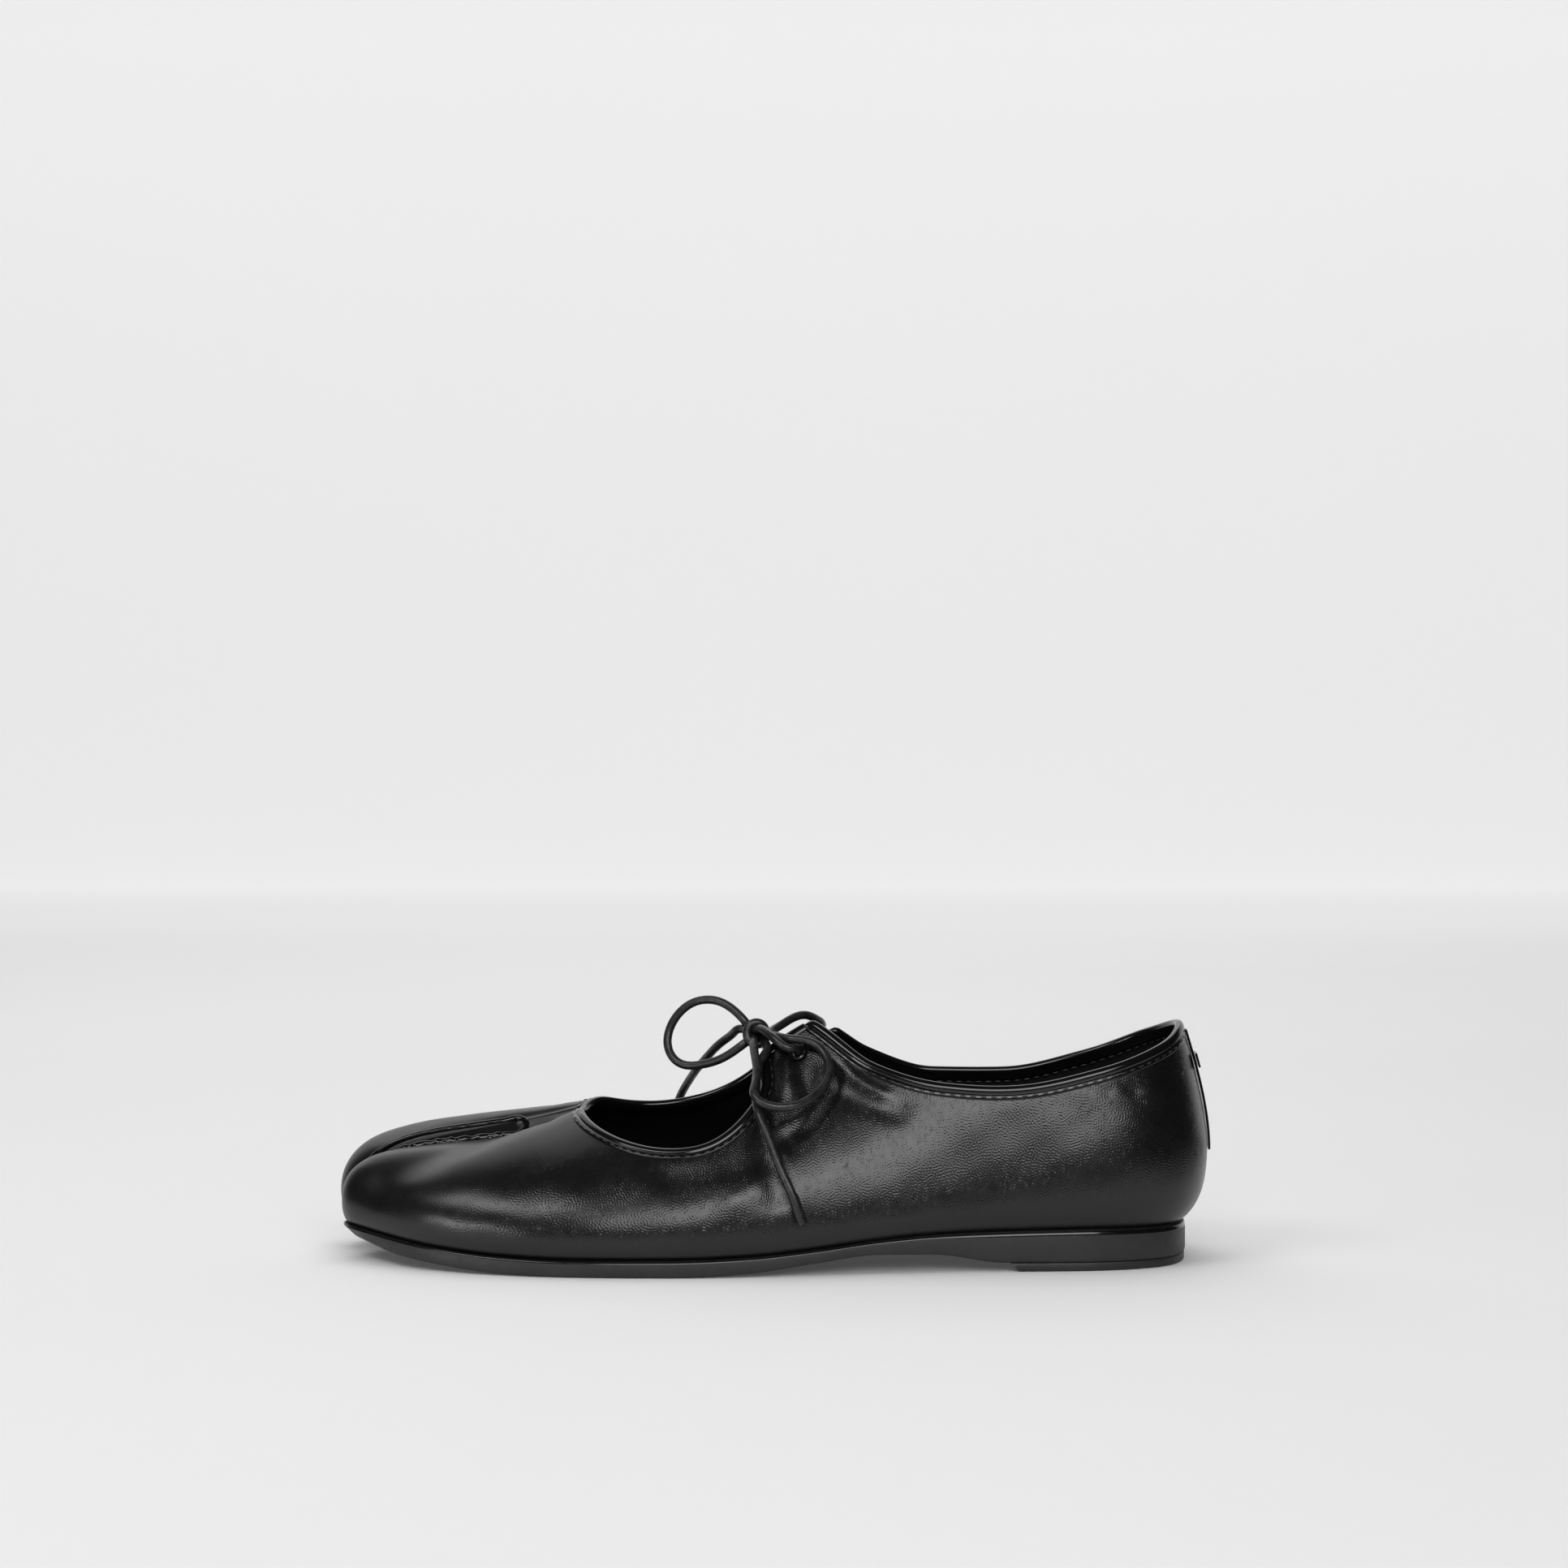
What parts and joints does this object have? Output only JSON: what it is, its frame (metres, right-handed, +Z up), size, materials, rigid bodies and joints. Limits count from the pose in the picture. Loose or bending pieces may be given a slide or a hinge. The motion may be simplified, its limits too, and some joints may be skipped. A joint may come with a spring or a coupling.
{
  "type": "split toe mary jane flat",
  "caption": "Low leather flat for a left foot with a split toe, an open throat and two instep tabs tied over the foot by a round lace in a bow.",
  "frame": {"origin": "on the floor under the middle of the shoe's box, free lace left out", "axes": "+X from toe to heel, +Y to the inner (medial) side, +Z up"},
  "size_m": [0.2541, 0.0877, 0.0748],
  "materials": {
    "black_leather": "gloss",
    "sole_rubber": "satin",
    "insole_leather": "matte",
    "lace_leather": "satin",
    "eyelet_metal": "gloss"
  },
  "bodies": {
    "root": {"outsole": "sole_rubber", "heel_lift": "sole_rubber", "insole": "insole_leather", "upper": "black_leather", "collar_binding": "black_leather", "throat_binding": "black_leather", "toe_split_welt": "black_leather", "heel_tab": "black_leather", "heel_tab_bar": "black_leather", "eyelet_lateral": "eyelet_metal", "eyelet_medial": "eyelet_metal", "lace_bar_lateral": "lace_leather", "lace_bar_medial": "lace_leather", "lace_knot": "lace_leather", "lace_loop_front": "lace_leather", "lace_loop_side": "lace_leather", "lace_end_front": "lace_leather", "lace_end_side": "lace_leather", "lace_tip_front": "lace_leather", "lace_tip_side": "lace_leather"}
  },
  "joints": []
}
